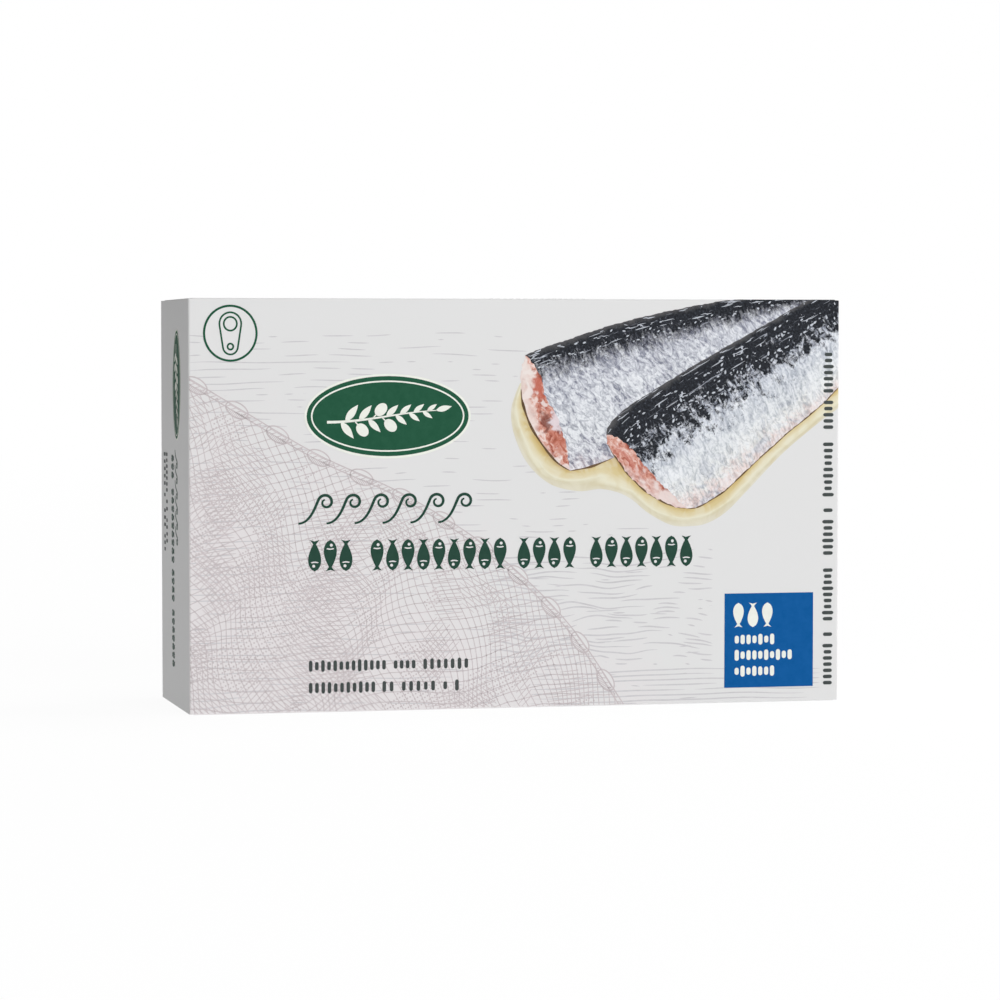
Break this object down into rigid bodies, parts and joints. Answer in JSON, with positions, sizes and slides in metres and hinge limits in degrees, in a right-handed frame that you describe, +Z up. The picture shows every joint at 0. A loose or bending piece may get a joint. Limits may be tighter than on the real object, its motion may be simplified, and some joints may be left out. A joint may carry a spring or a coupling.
{
  "type": "sardine tin carton",
  "caption": "Shut rectangular paperboard carton for a flat sardine tin, glued at both ends, standing on a long narrow side.",
  "frame": {"origin": "middle of the footprint, on the surface that the carton stands on", "axes": "+X along the carton's length, to the right seen from the printed front; -Y out of the printed front; +Z up"},
  "size_m": [0.1046, 0.03, 0.064],
  "materials": {
    "coated_board": "white coated folding board with a satin varnish and offset print"
  },
  "bodies": {
    "root": {"carton": "coated_board"}
  },
  "joints": []
}
